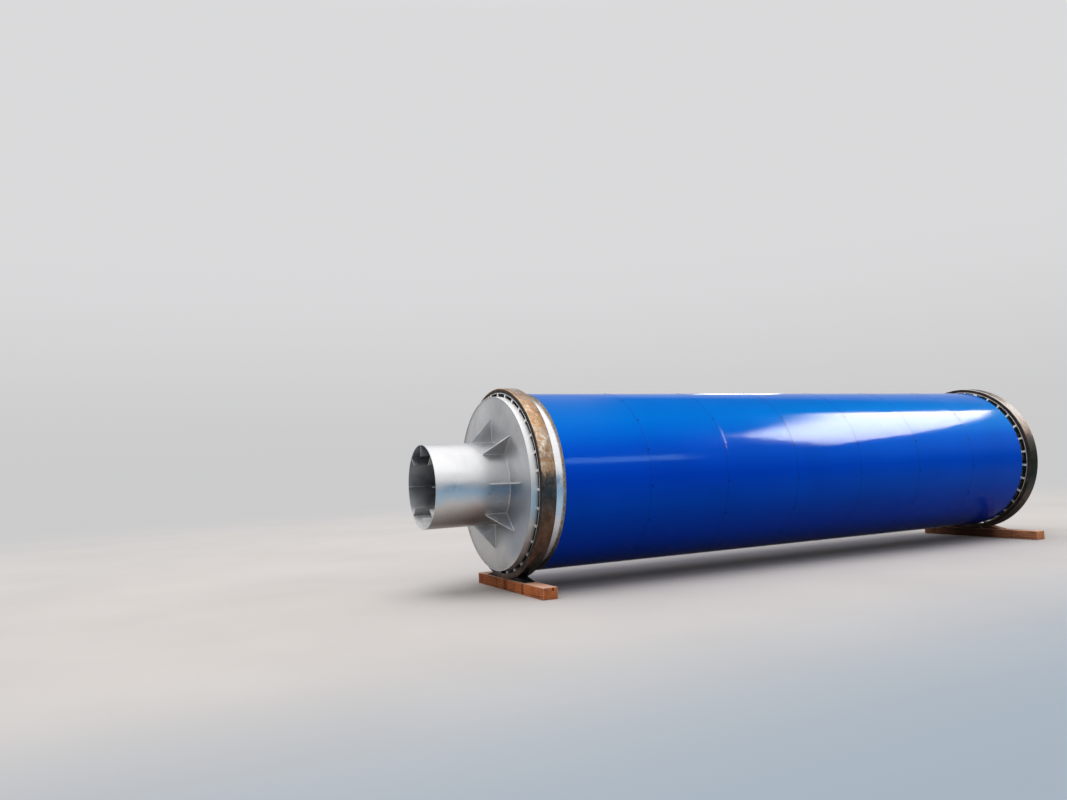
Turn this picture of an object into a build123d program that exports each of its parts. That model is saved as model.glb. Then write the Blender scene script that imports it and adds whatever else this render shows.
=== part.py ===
from build123d import *
from math import cos, radians, sin, sqrt
import os

os.makedirs("parts", exist_ok=True)

# Rotary drum dryer, lying on two timbers. Millimetres, X along the drum from
# its front end to its rear end, Z up, origin on the ground under mid-length.

# Drum shell, one rolled steel tube
shell_diameter = 2400
shell_wall = 16
shell_overhang = 104  # past the outer side of each tyre
fit_gap = 0.3  # between round pieces that are fitted and then welded

# Seat of each tyre: pads welded on the shell, and a band round them
pad_count = 32
pad_height = 45
pad_width = 38
pad_overhang = 20  # past each side of the tyre
pad_start_angle = {"front": 4.0, "rear": 7.05}
seat_band_thickness = 12
seat_band_overhang = 8  # past each side of the tyre

# Tyres, the rings that the drum turns on
tyre_thickness = 60
tyre_width = 205
tyre_spacing = 9690  # centre to centre
tyre_chamfer = 9

# Insulation and its cladding of painted sheet
insulation_thickness = 38
sheet_thickness = 2
band_count = 7
front_bare_length = 176  # bare shell between the front tyre and the cladding
rear_bare_length = 125
closing_ring_foot = 19  # the part of the closing ring that lies on the shell

# Heads, flat plates set into the shell's ends
head_thickness = 20
head_recess = 6

# Nozzles, the feed and discharge tubes, with outer gussets and inner ribs
nozzle_diameter = 1130
nozzle_wall = 10
nozzle_reach = 1035  # past the shell's end
nozzle_inset = 60  # inside the head
gusset_count = 8
gusset_thickness = 12
gusset_length = 305  # along the nozzle
gusset_height = 325  # up the head
gusset_nose = 16
rib_count = 8
rib_thickness = 8
rib_height = 145

# Lifting flights, angles that run along the inside of the shell
flight_count = 12
flight_height = 180
flight_lip = 70
flight_thickness = 8
flight_head_clearance = 250

# Timbers under the tyres, and the chocks on them
timber_height = 152
timber_width = 205
timber_length = {"front": 2110, "rear": 2300}
timber_shift = {"front": -149, "rear": -160}  # of the middle, along Y
chock_width = 160
chock_touch = 300  # from the tyre's lowest line to where the chock touches it
chock_peak = 400
chock_heel = 620
chock_heel_height = 8

shell_radius = shell_diameter / 2
shell_bore = shell_radius - shell_wall
shell_length = tyre_spacing + tyre_width + 2 * shell_overhang
band_bore = shell_radius + pad_height
tyre_bore = band_bore + seat_band_thickness
tyre_radius = tyre_bore + tyre_thickness
axis_height = timber_height + tyre_radius
sheet_bore = shell_radius + insulation_thickness
cladding_start = -tyre_spacing / 2 + tyre_width / 2 + front_bare_length
cladding_end = tyre_spacing / 2 - tyre_width / 2 - rear_bare_length
band_length = (cladding_end - cladding_start) / band_count
nozzle_radius = nozzle_diameter / 2
nozzle_bore = nozzle_radius - nozzle_wall


def across(x):
    """Plane across the drum at x, centred on its axis, with its normal along +X."""
    return Plane(origin=(x, 0, axis_height), x_dir=(0, 1, 0), z_dir=(1, 0, 0))


def radial(x, side, angle):
    """Plane through the axis: local x runs outwards along it, local y runs out from it."""
    away = (0, side * -sin(radians(angle)), side * cos(radians(angle)))
    return Plane(origin=(x, 0, axis_height), x_dir=(side, 0, 0), z_dir=away)


def tube(x_start, x_end, outer, inner):
    """Round tube or ring about the drum's axis, between two places along it."""
    with BuildPart() as piece:
        with BuildSketch(across(min(x_start, x_end))):
            Circle(outer)
            Circle(inner, mode=Mode.SUBTRACT)
        extrude(amount=abs(x_end - x_start))
    return piece


def save(piece, name):
    """Label a finished piece and write its STEP file."""
    piece.part.label = name
    export_step(piece.part, f"parts/{name}.step")


# Drum shell
drum_shell = tube(-shell_length / 2, shell_length / 2, shell_radius, shell_bore)
save(drum_shell, "drum_shell")

# Insulation, one blanket between the two closing rings
insulation = tube(
    cladding_start + sheet_thickness,
    cladding_end - sheet_thickness,
    sheet_bore - fit_gap,
    shell_radius + fit_gap,
)
save(insulation, "insulation")

# Cladding, sheets rolled into bands that meet end to end
for number in range(band_count):
    band_start = cladding_start + number * band_length
    cladding_band = tube(
        band_start, band_start + band_length, sheet_bore + sheet_thickness, sheet_bore
    )
    save(cladding_band, f"cladding_band_{number + 1}")

# Lifting flights, each an angle with its lip turned the way the drum turns
with BuildPart() as lifting_flights:
    for number in range(flight_count):
        angle = (number + 0.5) * 360 / flight_count
        flight_start = shell_length / 2 - head_recess - head_thickness - flight_head_clearance
        toe = shell_bore - fit_gap - flight_height
        with BuildSketch(across(-flight_start)):
            with Locations(Location((0, 0, 0), (0, 0, angle))):
                with Locations((toe + flight_height / 2, 0)):
                    Rectangle(flight_height, flight_thickness)
                with Locations((toe + flight_thickness / 2, flight_lip / 2)):
                    Rectangle(flight_thickness, flight_lip)
        extrude(amount=2 * flight_start)
save(lifting_flights, "lifting_flights")

for end, side in (("front", -1), ("rear", 1)):
    tyre_middle = side * tyre_spacing / 2
    shell_end = side * shell_length / 2
    head_face = shell_end - side * head_recess
    head_back = head_face - side * head_thickness
    mouth = shell_end + side * nozzle_reach

    # Tyre, chamfered along both edges of the face that it runs on
    with BuildPart() as tyre:
        with BuildSketch(across(tyre_middle - tyre_width / 2)):
            Circle(tyre_radius)
            Circle(tyre_bore, mode=Mode.SUBTRACT)
        extrude(amount=tyre_width)
        rims = tyre.edges().filter_by(GeomType.CIRCLE).group_by(SortBy.RADIUS)[-1]
        chamfer(rims, length=tyre_chamfer)
    save(tyre, f"{end}_tyre")

    # Seat band between the pads and the tyre
    half_band = tyre_width / 2 + seat_band_overhang
    seat_band = tube(
        tyre_middle - half_band, tyre_middle + half_band, tyre_bore - fit_gap, band_bore
    )
    save(seat_band, f"{end}_seat_band")

    # Pads, one row of bars along the shell, clear of the band by their corners
    pad_top = sqrt((band_bore - fit_gap / 2) ** 2 - (pad_width / 2) ** 2)
    pad_foot = shell_radius + fit_gap / 2
    half_pad = tyre_width / 2 + pad_overhang
    with BuildPart() as tyre_pads:
        with BuildSketch(across(tyre_middle - half_pad)):
            with PolarLocations((pad_top + pad_foot) / 2, pad_count, start_angle=pad_start_angle[end]):
                Rectangle(pad_top - pad_foot, pad_width)
        extrude(amount=2 * half_pad)
    save(tyre_pads, f"{end}_tyre_pads")

    # Closing ring, which ends the insulation under the sheet's edge
    sheet_edge = cladding_start if side < 0 else cladding_end
    with BuildPart() as closing_ring:
        with BuildSketch(across(min(sheet_edge, sheet_edge - side * sheet_thickness))):
            Circle(sheet_bore - fit_gap)
            Circle(shell_radius + fit_gap, mode=Mode.SUBTRACT)
        extrude(amount=sheet_thickness)
        with BuildSketch(across(min(sheet_edge, sheet_edge + side * closing_ring_foot))):
            Circle(shell_radius + fit_gap + sheet_thickness)
            Circle(shell_radius + fit_gap, mode=Mode.SUBTRACT)
        extrude(amount=closing_ring_foot)
    save(closing_ring, f"{end}_closing_ring")

    # Head plate, let into the shell and bored for the nozzle
    head_plate = tube(head_face, head_back, shell_bore - fit_gap, nozzle_radius + fit_gap)
    save(head_plate, f"{end}_head_plate")

    # Nozzle, which passes through the head
    nozzle_root = head_back - side * nozzle_inset
    nozzle = tube(mouth, nozzle_root, nozzle_radius, nozzle_bore)
    save(nozzle, f"{end}_nozzle")

    # Gussets between the nozzle and the head, with their two tips cut square
    gusset_foot = nozzle_radius + fit_gap
    with BuildPart() as gussets:
        for number in range(gusset_count):
            with BuildSketch(radial(head_face, side, number * 360 / gusset_count)):
                with BuildLine():
                    Polyline(
                        (0, gusset_foot),
                        (0, gusset_foot + gusset_height),
                        (gusset_nose, gusset_foot + gusset_height),
                        (gusset_length, gusset_foot + gusset_nose),
                        (gusset_length, gusset_foot),
                        close=True,
                    )
                make_face()
            extrude(amount=gusset_thickness / 2, both=True)
    save(gussets, f"{end}_nozzle_gussets")

    # Ribs along the inside of the nozzle, from its mouth to its inner end
    rib_length = abs(mouth - nozzle_root)
    rib_foot = nozzle_bore - fit_gap
    with BuildPart() as ribs:
        with BuildSketch(across(min(mouth, nozzle_root))):
            with PolarLocations(rib_foot - rib_height / 2, rib_count):
                Rectangle(rib_height, rib_thickness)
        extrude(amount=rib_length)
    save(ribs, f"{end}_nozzle_ribs")

    # Timber across the drum, under the tyre
    with BuildPart() as timber:
        with BuildSketch():
            with Locations((tyre_middle, timber_shift[end])):
                Rectangle(timber_width, timber_length[end])
        extrude(amount=timber_height)
    save(timber, f"{end}_timber")

    # Chocks, one on each side of the tyre, with a slope that just touches it
    touch_drop = tyre_radius - sqrt(tyre_radius**2 - chock_touch**2) - fit_gap
    slope = chock_touch / sqrt(tyre_radius**2 - chock_touch**2)
    chock_toe = chock_touch - touch_drop / slope
    chock_top = touch_drop + slope * (chock_peak - chock_touch)
    for hand, way in (("left", 1), ("right", -1)):
        with BuildPart() as chock:
            with BuildSketch(
                Plane(origin=(tyre_middle, 0, timber_height), x_dir=(0, 1, 0), z_dir=(1, 0, 0))
            ):
                with BuildLine():
                    Polyline(
                        (way * chock_toe, 0),
                        (way * chock_peak, chock_top),
                        (way * chock_heel, chock_heel_height),
                        (way * chock_heel, 0),
                        close=True,
                    )
                make_face()
            extrude(amount=chock_width / 2, both=True)
        save(chock, f"{end}_{hand}_chock")
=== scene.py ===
import math
import random

import bmesh
import bpy
from mathutils import Matrix, Vector, noise


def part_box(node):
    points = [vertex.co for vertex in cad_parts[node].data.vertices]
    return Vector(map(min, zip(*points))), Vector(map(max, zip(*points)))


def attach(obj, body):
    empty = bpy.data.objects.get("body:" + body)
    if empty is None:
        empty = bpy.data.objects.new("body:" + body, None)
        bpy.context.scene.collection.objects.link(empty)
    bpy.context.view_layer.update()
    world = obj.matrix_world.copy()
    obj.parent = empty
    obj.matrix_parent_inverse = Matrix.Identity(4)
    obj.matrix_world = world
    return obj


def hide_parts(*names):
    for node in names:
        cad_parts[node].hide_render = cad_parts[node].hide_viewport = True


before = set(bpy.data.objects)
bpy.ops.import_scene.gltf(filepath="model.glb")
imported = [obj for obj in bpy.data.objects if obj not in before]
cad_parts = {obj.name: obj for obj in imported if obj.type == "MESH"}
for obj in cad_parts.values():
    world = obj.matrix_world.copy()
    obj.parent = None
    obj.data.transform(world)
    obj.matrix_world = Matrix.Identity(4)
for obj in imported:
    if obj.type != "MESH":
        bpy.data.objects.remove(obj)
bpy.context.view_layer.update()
random.seed(11)
print("frame loaded:", len(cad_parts), "nodes")

# Everything round is turned about one axis, which the shell's box gives
shellLow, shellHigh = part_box("drum_shell")
axisHeight = (shellLow.z + shellHigh.z) / 2
axisPoint = Vector((0, 0, axisHeight))
shellRadius = (shellHigh.z - shellLow.z) / 2
ends = {"front": -1, "rear": 1}  # the way out of the drum at each end, along X


def endBox(end, node):
    # how near and how far a node of one end lies from mid-length, and its outer radius
    low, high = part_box(end + "_" + node)
    near, far = sorted((abs(low.x), abs(high.x)))
    return near, far, (high.z - low.z) / 2


# Camera, at the place and angle that the photograph was taken from
cameraSettings = {
    "place": (-9.6985, -10.6935, 1.6872),
    "yaw": 26.506,  # from +Y towards +X
    "pitch": 4.493,
    "roll": -2.51,
    "lens": 28.185,
    "sensor": 36.0,
}


def makeCamera(settings):
    data = bpy.data.cameras.new("photoCamera")
    data.sensor_fit = "HORIZONTAL"
    data.sensor_width = settings["sensor"]
    data.lens = settings["lens"]
    data.clip_end = 300
    camera = bpy.data.objects.new("photoCamera", data)
    bpy.context.scene.collection.objects.link(camera)
    turn = Matrix.Rotation(-math.radians(settings["yaw"]), 4, "Z")
    turn = turn @ Matrix.Rotation(math.radians(90 + settings["pitch"]), 4, "X")
    turn = turn @ Matrix.Rotation(math.radians(settings["roll"]), 4, "Z")
    camera.matrix_world = Matrix.Translation(settings["place"]) @ turn
    bpy.context.scene.camera = camera


makeCamera(cameraSettings)
bpy.context.scene.view_settings.view_transform = "Standard"
print("camera set")


# Short ways to write nodes
def fillInputs(tree, node, inputs):
    # links what comes from another node, and sets what is plain; a colour is three numbers
    for key, value in inputs.items():
        socket = node.inputs[key]
        if isinstance(value, bpy.types.NodeSocket):
            tree.links.new(value, socket)
        elif socket.type == "RGBA":
            socket.default_value = (*value, 1)
        else:
            socket.default_value = value


def addNode(tree, kind, inputs=None, **settings):
    made = tree.nodes.new("ShaderNode" + kind)
    for key, value in settings.items():
        setattr(made, key, value)
    fillInputs(tree, made, inputs or {})
    return made


def addNoise(tree, vector, scale, detail=3.0, roughness=0.5, distortion=0.0):
    made = addNode(tree, "TexNoise", {
        "Vector": vector, "Scale": scale, "Detail": detail,
        "Roughness": roughness, "Distortion": distortion,
    })
    return made.outputs["Fac"]


def addMath(tree, operation, a, b=0.0, clamp=False):
    made = addNode(tree, "Math", {0: a, 1: b}, operation=operation, use_clamp=clamp)
    return made.outputs[0]


def addSum(tree, a, b):
    return addMath(tree, "ADD", a, b)


def addTimes(tree, a, b):
    return addMath(tree, "MULTIPLY", a, b)


def addRange(tree, value, fromLow, fromHigh, toLow=0.0, toHigh=1.0, curve="LINEAR"):
    made = addNode(tree, "MapRange", {
        "Value": value, "From Min": fromLow, "From Max": fromHigh, "To Min": toLow, "To Max": toHigh,
    }, interpolation_type=curve)
    return made.outputs["Result"]


def addSmoothRange(tree, value, fromLow, fromHigh):
    return addRange(tree, value, fromLow, fromHigh, curve="SMOOTHSTEP")


def addSpread(tree, noiseValue, toLow=0.0, toHigh=1.0):
    # most values of a noise lie between 0.3 and 0.7
    return addRange(tree, noiseValue, 0.3, 0.7, toLow, toHigh)


def addMix(tree, factor, a, b, blend="MIX"):
    made = addNode(tree, "Mix", {0: factor, 6: a, 7: b}, data_type="RGBA", blend_type=blend)
    return made.outputs[2]


def addTint(tree, colour, tint):
    return addMix(tree, 1.0, colour, tint, "MULTIPLY")


def addOver(tree, colour, over, mask, share):
    # lays one tone over another where a mask shows it, and no stronger than a share
    return addMix(tree, addTimes(tree, mask, share), colour, over)


def addRamp(tree, value, stops):
    made = addNode(tree, "ValToRGB", {0: value})
    band = made.color_ramp
    while len(band.elements) < len(stops):
        band.elements.new(0.5)
    for element, (place, colour) in zip(band.elements, stops):
        element.position = place
        element.color = (*colour, 1)
    return made.outputs[0]


def addGreyRamp(tree, value, stops):
    return addRamp(tree, value, [(place, (tone, tone, tone)) for place, tone in stops])


def addStretch(tree, vector, scale):
    return addNode(tree, "VectorMath", {0: vector, 1: scale}, operation="MULTIPLY").outputs[0]


def addPart(tree, vector, axis):
    return addNode(tree, "SeparateXYZ", {0: vector}).outputs[axis]


def addNormalUp(tree):
    # how far a face looks up, from -1 to 1
    return addPart(tree, addNode(tree, "NewGeometry").outputs["Normal"], "Z")


def addBump(tree, height, distance):
    return addNode(tree, "Bump", {"Height": height, "Distance": distance, "Strength": 1.0}).outputs[0]


# World and floor: pale in front of the photograph's camera, and dimmer low down on its own side
studio = {
    "farHorizon": (0.6, 0.6, 0.605),
    "farWall": (0.7, 0.7, 0.71),
    "farCeiling": (0.85, 0.85, 0.86),
    "beyondCeiling": (0.1, 0.12, 0.15),  # overhead past the drum's rear end
    "nearHorizon": (0.18, 0.26, 0.36),
    "nearWall": (1.0, 1.0, 1.0),
    "nearCeiling": (1.45, 1.45, 1.46),
    "fillLow": (0.1, 0.105, 0.11),  # what the diffuse rays meet, along the horizon and overhead
    "fillHigh": (0.9, 0.9, 0.9),
    # where one tone gives way to the next, as parts of a direction of length 1
    "wallStarts": (0.0, 0.25),  # up
    "ceilingStarts": (0.485, 0.6),  # up
    "fillRises": (0.03, 0.7),  # up
    "beyondStarts": (0.485, 0.55),  # along +X
    "nearSide": (0.42, -0.1),  # along Y, for the horizon, the wall and the floor's far edge
    "nearOverhead": (0.9, 0.25),  # along Y, for the ceiling
    "floorColour": (0.6, 0.57, 0.552),
    "floorBounce": (0.15, 0.147, 0.142),
    "floorHalf": 90.0,
    "floorDims": (-2.4, -8.0),  # along Y, from the drum towards the camera's side
    "dimmedFloor": (0.34, 0.4, 0.465),
    "floorFades": (9.0, 30.0),  # how far out the floor fades into the horizon
}


def addShownRay(tree):
    # 1 for the rays that show the background: straight ones, glossy ones and transmitted ones
    path = addNode(tree, "LightPath")
    straight = addSum(tree, path.outputs["Is Camera Ray"], path.outputs["Is Glossy Ray"])
    return addMath(tree, "ADD", straight, path.outputs["Is Transmission Ray"], clamp=True)


def addHorizon(tree, direction, settings):
    # the tone along the horizon, and how far a direction points to the camera's own side
    nearSide = addSmoothRange(tree, addPart(tree, direction, "Y"), *settings["nearSide"])
    return addMix(tree, nearSide, settings["farHorizon"], settings["nearHorizon"]), nearSide


def makeWorld(settings):
    world = bpy.data.worlds.new("studioWorld")
    world.use_nodes = True
    bpy.context.scene.world = world
    tree = world.node_tree
    tree.nodes.clear()
    direction = addNode(tree, "TexCoord").outputs["Generated"]
    height = addPart(tree, direction, "Z")
    horizon, nearSide = addHorizon(tree, direction, settings)
    wall = addMix(tree, nearSide, settings["farWall"], settings["nearWall"])
    across = addSmoothRange(tree, addPart(tree, direction, "Y"), *settings["nearOverhead"])
    ceiling = addMix(tree, across, settings["farCeiling"], settings["nearCeiling"])
    beyond = addSmoothRange(tree, addPart(tree, direction, "X"), *settings["beyondStarts"])
    ceiling = addMix(tree, beyond, ceiling, settings["beyondCeiling"])
    seen = addMix(tree, addSmoothRange(tree, height, *settings["wallStarts"]), horizon, wall)
    seen = addMix(tree, addSmoothRange(tree, height, *settings["ceilingStarts"]), seen, ceiling)
    overhead = addSmoothRange(tree, height, *settings["fillRises"])
    fill = addMix(tree, overhead, settings["fillLow"], settings["fillHigh"])
    colour = addMix(tree, addShownRay(tree), fill, seen)
    light = addNode(tree, "Background", {"Color": colour, "Strength": 1.0})
    addNode(tree, "OutputWorld", {0: light.outputs[0]})


def makeFloor(settings):
    material = bpy.data.materials.new("studioFloor")
    material.use_nodes = True
    tree = material.node_tree
    tree.nodes.clear()
    place = addNode(tree, "TexCoord").outputs["Object"]
    cloud = addSpread(tree, addNoise(tree, place, 0.35, 3), 0.96, 1.04)
    pale = addTint(tree, settings["floorColour"], cloud)
    dimmed = addSmoothRange(tree, addPart(tree, place, "Y"), *settings["floorDims"])
    pale = addMix(tree, dimmed, pale, settings["dimmedFloor"])
    shown = addShownRay(tree)
    colour = addMix(tree, shown, settings["floorBounce"], pale)
    ground = addNode(tree, "BsdfDiffuse", {"Color": colour})
    away = addNode(tree, "VectorMath", {0: place}, operation="LENGTH").outputs["Value"]
    fade = addTimes(tree, addSmoothRange(tree, away, *settings["floorFades"]), shown)
    direction = addNode(tree, "VectorMath", {0: place}, operation="NORMALIZE").outputs[0]
    glow = addNode(tree, "Emission", {"Color": addHorizon(tree, direction, settings)[0]})
    both = addNode(tree, "MixShader", {0: fade, 1: ground.outputs[0], 2: glow.outputs[0]})
    addNode(tree, "OutputMaterial", {0: both.outputs[0]})
    bm = bmesh.new()
    bmesh.ops.create_grid(bm, x_segments=8, y_segments=8, size=settings["floorHalf"])
    mesh = bpy.data.meshes.new("studioFloor")
    bm.to_mesh(mesh)
    bm.free()
    mesh.materials.append(material)
    floor = bpy.data.objects.new("studioFloor", mesh)
    bpy.context.scene.collection.objects.link(floor)


makeWorld(studio)
makeFloor(studio)

# Lamps: one wide soft light from above, and window-like ones that only the gloss paint shows
lamps = {
    "softSky": {"aim": (0.12, 0.16, -1.0), "irradiance": 1.25, "spread": 50.0, "colour": (1.0, 0.99, 0.97)},
    "tallWindowRight": {
        "place": (14.0, -6.85, 13.25), "aim": (0.0, -6.85, 13.25), "size": (11.9, 8.3),
        "radiance": 108.0, "colour": (1.0, 0.835, 0.72),
        # how bright it is across its width, and up its height
        "acrossTones": ((0.0, 1.0), (0.2, 1.0), (0.4, 0.8), (0.6, 0.66), (0.8, 0.5), (1.0, 0.4)),
        "upTones": ((0.0, 0.68), (0.45, 1.0), (0.72, 1.0), (0.86, 0.5), (1.0, 0.0)),
    },
    "lowWindowFront": {
        "place": (7.2, -18.0, 9.2), "aim": (7.2, 0.0, 9.2), "size": (7.6, 2.4),
        "radiance": 23.0, "colour": (0.62, 0.84, 1.0),
    },
    "farWindowBehind": {
        "place": (8.6, 10.5, 5.8), "aim": (-1.5, 0.0, 2.6), "size": (2.6, 2.6),
        "radiance": 2.4, "colour": (1.0, 0.97, 0.93),
    },
}
glossPieces = bpy.data.collections.new("glossPieces")  # what the window-like lamps light


def shadeLamp(data, settings):
    # makes a window's light uneven across it and up it
    data.use_nodes = True
    tree = data.node_tree
    tree.nodes.clear()
    place = addNode(tree, "NewGeometry").outputs["Parametric"]
    across = addGreyRamp(tree, addPart(tree, place, "X"), settings["acrossTones"])
    up = addGreyRamp(tree, addPart(tree, place, "Y"), settings["upTones"])
    light = addNode(tree, "Emission", {"Strength": addTimes(tree, across, up)})
    addNode(tree, "OutputLight", {0: light.outputs[0]})


def makeLamp(name, settings):
    isSky = "irradiance" in settings
    data = bpy.data.lights.new(name, "SUN" if isSky else "AREA")
    data.color = settings["colour"]
    lamp = bpy.data.objects.new(name, data)
    bpy.context.scene.collection.objects.link(lamp)
    lamp.visible_camera = False
    if isSky:
        data.energy = settings["irradiance"]
        data.angle = math.radians(settings["spread"])
        aim = Vector(settings["aim"])
        lamp.visible_glossy = False
    else:
        data.shape = "RECTANGLE"
        data.size, data.size_y = settings["size"]
        data.energy = settings["radiance"] * 4 * data.size * data.size_y
        lamp.location = settings["place"]
        aim = Vector(settings["aim"]) - lamp.location
        lamp.visible_diffuse = False
        lamp.light_linking.receiver_collection = glossPieces
    if "upTones" in settings:
        shadeLamp(data, settings)
    lamp.rotation_euler = aim.to_track_quat("-Z", "Y").to_euler()


for lampName, lampSettings in lamps.items():
    makeLamp(lampName, lampSettings)
print("studio built")


# Node groups, one for each effect that several materials share
def startGroup(name, inputs, outputs):
    group = bpy.data.node_groups.new(name, "ShaderNodeTree")
    newSocket = group.interface.new_socket
    for socketName, kind, value in inputs:
        socket = newSocket(name=socketName, in_out="INPUT", socket_type="NodeSocket" + kind)
        if value is not None:
            socket.default_value = value
    for socketName, kind in outputs:
        newSocket(name=socketName, in_out="OUTPUT", socket_type="NodeSocket" + kind)
    inside = group.nodes.new("NodeGroupInput")
    out = group.nodes.new("NodeGroupOutput")
    return group, inside.outputs, out


def makeBrushedGroup():
    # fine scratches drawn out along one way, and broad cloudy patches of handling marks
    group, given, out = startGroup("brushedMarks", [
        ("Vector", "Vector", None), ("Scratch Stretch", "Vector", (4.0, 60.0, 60.0)),
        ("Cloud Scale", "Float", 3.0), ("Dent Scale", "Float", 2.2), ("Bump Height", "Float", 0.0004),
    ], [("Scratches", "Float"), ("Clouds", "Float"), ("Normal", "Vector")])
    drawn = addStretch(group, given["Vector"], given["Scratch Stretch"])
    scratches = addNoise(group, drawn, 1.0, 5, 0.6)
    clouds = addNoise(group, given["Vector"], given["Cloud Scale"], 4, 0.55, 0.6)
    dents = addNoise(group, given["Vector"], given["Dent Scale"], 1, 0.4, 0.4)
    height = addSum(group, addTimes(group, scratches, 0.004), dents)
    normal = addBump(group, height, given["Bump Height"])
    fillInputs(group, out, {"Scratches": scratches, "Clouds": clouds, "Normal": normal})
    return group


def makeBlotchGroup():
    # patches with ragged edges, for rust, stains and dust
    group, given, out = startGroup("raggedPatches", [
        ("Vector", "Vector", None), ("Scale", "Float", 4.0),
        ("Level", "Float", 0.5), ("Softness", "Float", 0.08),
    ], [("Mask", "Float")])
    broad = addNoise(group, given["Vector"], given["Scale"], 6, 0.65, 0.8)
    low = addMath(group, "SUBTRACT", given["Level"], given["Softness"])
    high = addSum(group, given["Level"], given["Softness"])
    fillInputs(group, out, {"Mask": addRange(group, broad, low, high)})
    return group


brushedMarks = makeBrushedGroup()
raggedPatches = makeBlotchGroup()


def addMarks(tree, vector, stretch, cloudScale, bumpHeight):
    return addNode(tree, "Group", {
        "Vector": vector, "Scratch Stretch": stretch, "Cloud Scale": cloudScale, "Bump Height": bumpHeight,
    }, node_tree=brushedMarks).outputs


def addPatches(tree, vector, scale, level, softness):
    # a higher level leaves fewer patches
    return addNode(tree, "Group", {
        "Vector": vector, "Scale": scale, "Level": level, "Softness": softness,
    }, node_tree=raggedPatches).outputs["Mask"]


def startMaterial(name):
    # a material with its shader, and Object coordinates centred on the drum's axis
    material = bpy.data.materials.new(name)
    material.use_nodes = True
    tree = material.node_tree
    tree.nodes.clear()
    skin = addNode(tree, "BsdfPrincipled")
    addNode(tree, "OutputMaterial", {0: skin.outputs[0]})
    place = addNode(tree, "TexCoord").outputs["Object"]
    centred = addNode(tree, "Mapping", {"Vector": place, "Location": (0, 0, -axisHeight)}).outputs[0]
    return material, tree, skin, centred


# Stainless steel. Its marks: light and dark clouds, brushed streaks and brown stains. Then, by the way a
# face looks: a painted cool reflection on level faces, painted shade underneath, and dust made lighter as a
# painted light on top low down in the bore.
def makeStainless(name, finish):
    material, tree, skin, centred = startMaterial(name)
    marks = addMarks(tree, centred, finish["stretch"], finish["cloudScale"], finish["dents"])
    colour = addMix(tree, addSpread(tree, marks["Clouds"]), finish["dark"], finish["light"])
    streaks = addSpread(tree, marks["Scratches"], 1 - finish["streaks"], 1 + finish["streaks"])
    colour = addTint(tree, colour, streaks)
    stain = addPatches(tree, centred, 1.7, 0.66, 0.1)
    colour = addOver(tree, colour, (0.28, 0.25, 0.22), stain, finish["stain"])
    up = addNormalUp(tree)
    ragged = addSum(tree, up, addSpread(tree, marks["Clouds"], -0.09, 0.09))
    # painted reflection: a cool tint where a face looks level or a little down
    level = addSmoothRange(tree, ragged, 0.06, -0.12)
    level = addTimes(tree, level, addSmoothRange(tree, ragged, -0.5, -0.2))
    colour = addOver(tree, colour, addTint(tree, colour, (0.5, 0.77, 1.0)), level, finish["filmAndPaintedLight"])
    # painted shade: a dark brown tone where a face looks down
    paintedUnderShade = addSmoothRange(tree, up, -0.22, -0.92)
    colour = addOver(tree, colour, (0.19, 0.15, 0.13), paintedUnderShade, finish["underside"])
    z = addPart(tree, centred, "Z")
    # painted shade: near-black low down on the drum, for the pads and the seat bands
    if "sootAndShade" in finish:  # black low down on the drum
        sootAndShade = addSmoothRange(tree, z, -0.4, -1.1)
        colour = addOver(tree, colour, (0.04, 0.038, 0.036), sootAndShade, finish["sootAndShade"])
    # dust and painted light: near-white on faces that look up, low down in the bore
    dustAndPaintedLight = addTimes(tree, addSmoothRange(tree, up, 0.3, 0.75), addSmoothRange(tree, z, -0.2, -0.4))
    dustAndPaintedLight = addTimes(tree, dustAndPaintedLight, finish["dust"])
    colour = addMix(tree, dustAndPaintedLight, colour, (0.95, 0.95, 0.95))
    # painted shade and reflection: the head's lower part towards -Y made cooler and darker
    if "shade" in finish:  # a cooler, darker patch on the head, below its middle and towards -Y
        side = addSmoothRange(tree, addPart(tree, centred, "Y"), -0.25, -0.6)
        side = addTimes(tree, side, addSmoothRange(tree, z, 0.1, -0.12))
        side = addTimes(tree, side, addSmoothRange(tree, z, -1.12, -0.85))
        colour = addMix(tree, side, colour, addTint(tree, colour, finish["shade"]))
    rough = addRange(tree, marks["Clouds"], 0.25, 0.75, *finish["roughness"])
    rough = addSum(tree, rough, addSpread(tree, marks["Scratches"], -0.04, 0.04))
    metal = addMath(tree, "SUBTRACT", finish["metallic"], addTimes(tree, dustAndPaintedLight, 0.85))
    fillInputs(tree, skin, {
        "Base Color": colour, "Roughness": rough, "Normal": marks["Normal"], "Metallic": metal,
    })
    if "turned" in finish:  # turned on a lathe, so its gloss is drawn out across the grooves
        about = addNode(tree, "Tangent", direction_type="RADIAL", axis="X")
        fillInputs(tree, skin, {"Tangent": about.outputs[0], "Anisotropic": finish["turned"]})
    return material


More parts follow.
